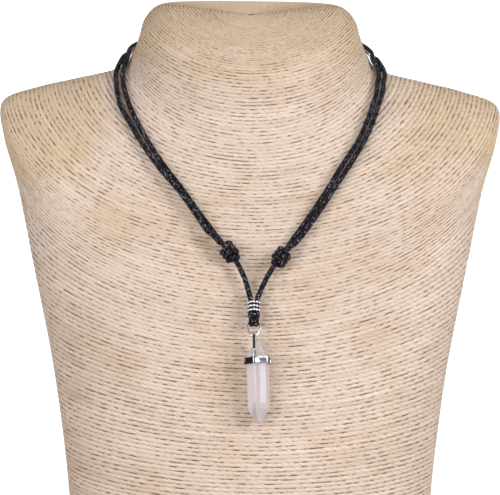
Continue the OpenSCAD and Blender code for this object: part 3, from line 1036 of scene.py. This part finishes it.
def bust_point(t, angle):
    """Points on the bust: t counts rows of the table, angle runs from the front."""
    w = winding_at(t)
    front = np.cos(angle) >= 0
    full = np.where(front, w[..., FRONT_FULL], w[..., BACK_FULL])
    s = np.abs(np.sin(angle)) ** (2 / full)
    c = np.abs(np.cos(angle)) ** (2 / full)
    end_y = np.where(front, w[..., FRONT_Y], w[..., BACK_Y])
    end_z = np.where(front, w[..., FRONT_Z], w[..., BACK_Z])
    bend = w[..., BEND]
    rise = (1 - np.sqrt(1 - (bend * s) ** 2)) / (1 - np.sqrt(1 - bend ** 2))
    u = np.where(front, rise, 1 - c)
    x = np.sign(np.sin(angle)) * w[..., SIDE_X] * s
    return np.stack([x, w[..., SIDE_Y] + (end_y - w[..., SIDE_Y]) * c,
                     end_z + (w[..., SIDE_Z] - end_z) * u - SIDE_FALL * x], axis=-1)


def running_length(points):
    """The length along each row of points, up to each of them."""
    steps = np.linalg.norm(np.diff(points, axis=-2), axis=-1)
    return np.concatenate([np.zeros_like(steps[..., :1]), np.cumsum(steps, axis=-1)], axis=-1)


class NECKLACE_OT_bust(bpy.types.Operator):
    """Adds the neck bust, wound with one rope from the crown down"""
    bl_idname = "necklace.bust"
    bl_label = "Rope Wound Bust"

    # Points round a turn, rings in a turn, and the table's row that spaces the points
    SIDES, RINGS, MIDDLE_ROW = 156, 4, 11.0
    # In turns: where the rope starts and how far it wanders, and the columns over which that fades
    START, WANDER, FADE = 0.35, 0.16, 6

    def execute(self, context):
        rope = context.scene.necklace_rope
        pitch = rope.pitch / MM
        n, sub = self.SIDES, self.RINGS
        # Turns of the rope against rows of the table, down the middle of the chest
        fine = np.linspace(0, float(len(WINDING) - 1), 1600)
        run = running_length(bust_point(fine, np.zeros_like(fine)))
        # Angles that space the points evenly round a middle turn, from the back to the back
        dense = np.linspace(-pi, pi, 4001)
        part = running_length(bust_point(np.full_like(dense, self.MIDDLE_ROW), dense))
        column = np.arange(n + 1)
        angle = np.interp(column / n * part[-1], part, dense)
        # The rope runs down by one pitch a turn and wanders a little, apart from at the back
        rings = int(ceil(run[-1] / pitch)) * sub
        ring = np.arange(rings + 1)
        turn = self.START + ring[:, None] / sub + column[None, :] / n
        wander = np.array([[noise.noise(Vector((i / sub * 0.8, j / n * 26.0, 3.1)))
                            for j in range(n + 1)] for i in ring])
        wander[:, -1] = 0
        fade = np.minimum(1, np.minimum(column, n - column) / self.FADE)[None, :]
        t = np.interp((turn + self.WANDER * wander * fade) * pitch, run, fine)
        # Points on the bust, raised along its normals to the rope's rounded crests
        angle = np.broadcast_to(angle[None, :], t.shape)
        at = bust_point(t, angle)
        small = 0.02
        down = bust_point(t + small, angle) - bust_point(np.maximum(t - small, 0), angle)
        sideways = bust_point(t, angle + small) - bust_point(t, angle - small)
        normal = np.cross(down, sideways)
        normal /= np.maximum(np.linalg.norm(normal, axis=-1, keepdims=True), 1e-9)
        crest = np.sqrt(1 - (2 * (ring % sub) / sub - 1) ** 2) - 1
        height = crest * rope.relief / MM - rope.seat / MM
        at = (at + normal * height[:, None, None]) * MM
        along = running_length(at)
        along -= along[:, n // 2][:, None]
        # Faces between the rings, where the last column meets the first of the next turn
        i, j = np.meshgrid(np.arange(rings), np.arange(n), indexing="ij")
        keep = (j < n - 1) | (i + 1 + sub <= rings)
        i, j = i[keep], j[keep]
        corners = ((i + 1, j), (i + 1, j + 1), (i, j + 1), (i, j))
        faces = np.stack([np.where(b < n, a * n + b, (a + sub) * n) for a, b in corners], axis=1)
        uvs = np.stack([np.stack([along[a, b], a / sub], axis=-1) for a, b in corners], axis=1)
        # The rope's start closes the crown
        verts = at[:, :n].reshape(-1, 3)
        rim = list(range(n)) + [k * n for k in range(sub, 0, -1)]
        crown = len(verts)
        verts = np.vstack([verts, verts[rim].mean(axis=0)])
        start = [(crown, b, a) for a, b in zip(rim, rim[1:] + rim[:1])]
        faces = faces.tolist() + start
        uvs = np.concatenate([uvs.reshape(-1, 2), np.full((3 * len(start), 2), 0.25)])
        bust = new_piece("rope_winding", verts.tolist(), faces, "Rope", uvs, [True] * len(faces))
        # The flat foot
        edit_mode(bust)
        bpy.ops.mesh.bisect(plane_co=(0, 0, 0), plane_no=(0, 0, 1), use_fill=True,
                            clear_inner=True, threshold=1e-6)
        object_mode()
        dress(bust, once("Rope", rope_finish, rope), "rope", DISPLAY, "neck_bust")
        return {"FINISHED"}


# Lamps: place, the point each faces and size, in metres, and power
LAMPS = {
    "top_light": ((0.0, -0.45, 1.3), (0, -0.02, 0.1), (0.5, 0.4), 1.3),
    "key_light": ((1.02, -0.84, 0.55), (0, 0, 0.12), (0.6, 0.6), 11.0),
    "fill_light": ((-0.80, -1.20, 0.30), (0, 0, 0.12), (1.1, 0.7), 11.5),
    "back_light": ((0.25, 1.3, 0.14), (0, 0, 0.12), (0.9, 0.4), 12.0),
}


class NECKLACE_OT_stage(bpy.types.Operator):
    """Adds the white floor that sweeps up behind, and the soft studio light"""
    bl_idname = "necklace.stage"
    bl_label = "Stage"

    def floor(self, stage):
        size, rise, sweep = 6.0, 4, 1.2
        deselect()
        bpy.ops.mesh.primitive_plane_add(size=size, location=(0, 0, 0))
        floor = bpy.context.object
        edit_where(floor, "EDGE", lambda edge: all(
            floor.data.vertices[v].co.y > size / 2 - 0.1 for v in edge.vertices))
        bpy.ops.mesh.extrude_region_move(TRANSFORM_OT_translate={"value": (0, 0, rise)})
        object_mode()
        bevel(floor, sweep, 16)
        apply_modifiers(floor)
        shade(floor)
        floor.name = "studio_floor"
        floor.data.materials.append(once("Studio Paper", paper_finish, stage))

    def world(self, scene):
        """A pale dome that lights softly, and looks white to the camera."""
        world = scene.world = bpy.data.worlds.new("Studio")
        world.use_nodes = True
        world.node_tree.nodes.clear()
        nodes = Nodes(world.node_tree)
        way = nodes.add("ShaderNodeTexCoord").outputs["Generated"]
        rise = nodes.step(nodes.split(way)[2], -0.2, 0.7)
        glow = nodes.mix(rise, (0.55, 0.55, 0.56, 1), (1, 1, 1, 1))
        strength = nodes.scaled(nodes.seen(), 2.0, 0.31)
        dome = nodes.add("ShaderNodeBackground", {"Color": glow, "Strength": strength})
        nodes.add("ShaderNodeOutputWorld", {"Surface": dome.outputs[0]})

    def execute(self, context):
        self.floor(context.scene.necklace_stage)
        for name, (at, aim, size, power) in LAMPS.items():
            bpy.ops.object.light_add(type="AREA", location=at)
            lamp = bpy.context.object
            lamp.name = name
            lamp.data.shape = "RECTANGLE"
            lamp.data.size, lamp.data.size_y = size
            lamp.data.energy = power
            lamp.visible_camera = False
            facing = (Vector(aim) - Vector(at)).to_track_quat("-Z", "Y")
            lamp.rotation_euler = facing.to_euler()
        self.world(context.scene)
        context.scene.view_settings.view_transform = "Standard"
        context.scene.view_settings.look = "None"
        return {"FINISHED"}


OPERATORS = (NECKLACE_OT_camera, NECKLACE_OT_cords, NECKLACE_OT_knots, NECKLACE_OT_hitch,
             NECKLACE_OT_sleeve, NECKLACE_OT_jump_ring, NECKLACE_OT_cap, NECKLACE_OT_stone,
             NECKLACE_OT_bust, NECKLACE_OT_stage)


class NECKLACE_PT_panel(bpy.types.Panel):
    """Lists the pieces and their settings"""
    bl_idname = "NECKLACE_PT_panel"
    bl_label = "Necklace"
    bl_space_type = "VIEW_3D"
    bl_region_type = "UI"
    bl_category = "Necklace"

    def draw(self, context):
        for operator in OPERATORS:
            self.layout.operator(operator.bl_idname, text=operator.bl_label)
        for name, settings in SETTINGS.items():
            box = self.layout.box()
            for key in settings.__annotations__:
                box.prop(getattr(context.scene, name), key)


def register():
    for item in (*SETTINGS.values(), *OPERATORS, NECKLACE_PT_panel):
        bpy.utils.register_class(item)
    for name, settings in SETTINGS.items():
        setattr(bpy.types.Scene, name, PointerProperty(type=settings))


def unregister():
    for name in SETTINGS:
        delattr(bpy.types.Scene, name)
    for item in (NECKLACE_PT_panel, *reversed(OPERATORS), *reversed(SETTINGS.values())):
        bpy.utils.unregister_class(item)


def main():
    register()
    bpy.ops.necklace.camera()
    bpy.ops.necklace.cords()
    bpy.ops.necklace.knots()
    bpy.ops.necklace.hitch()
    bpy.ops.necklace.sleeve()
    bpy.ops.necklace.jump_ring()
    bpy.ops.necklace.cap()
    bpy.ops.necklace.stone()
    bpy.ops.necklace.bust()
    bpy.ops.necklace.stage()
    deselect()


if __name__ == "__main__":
    main()
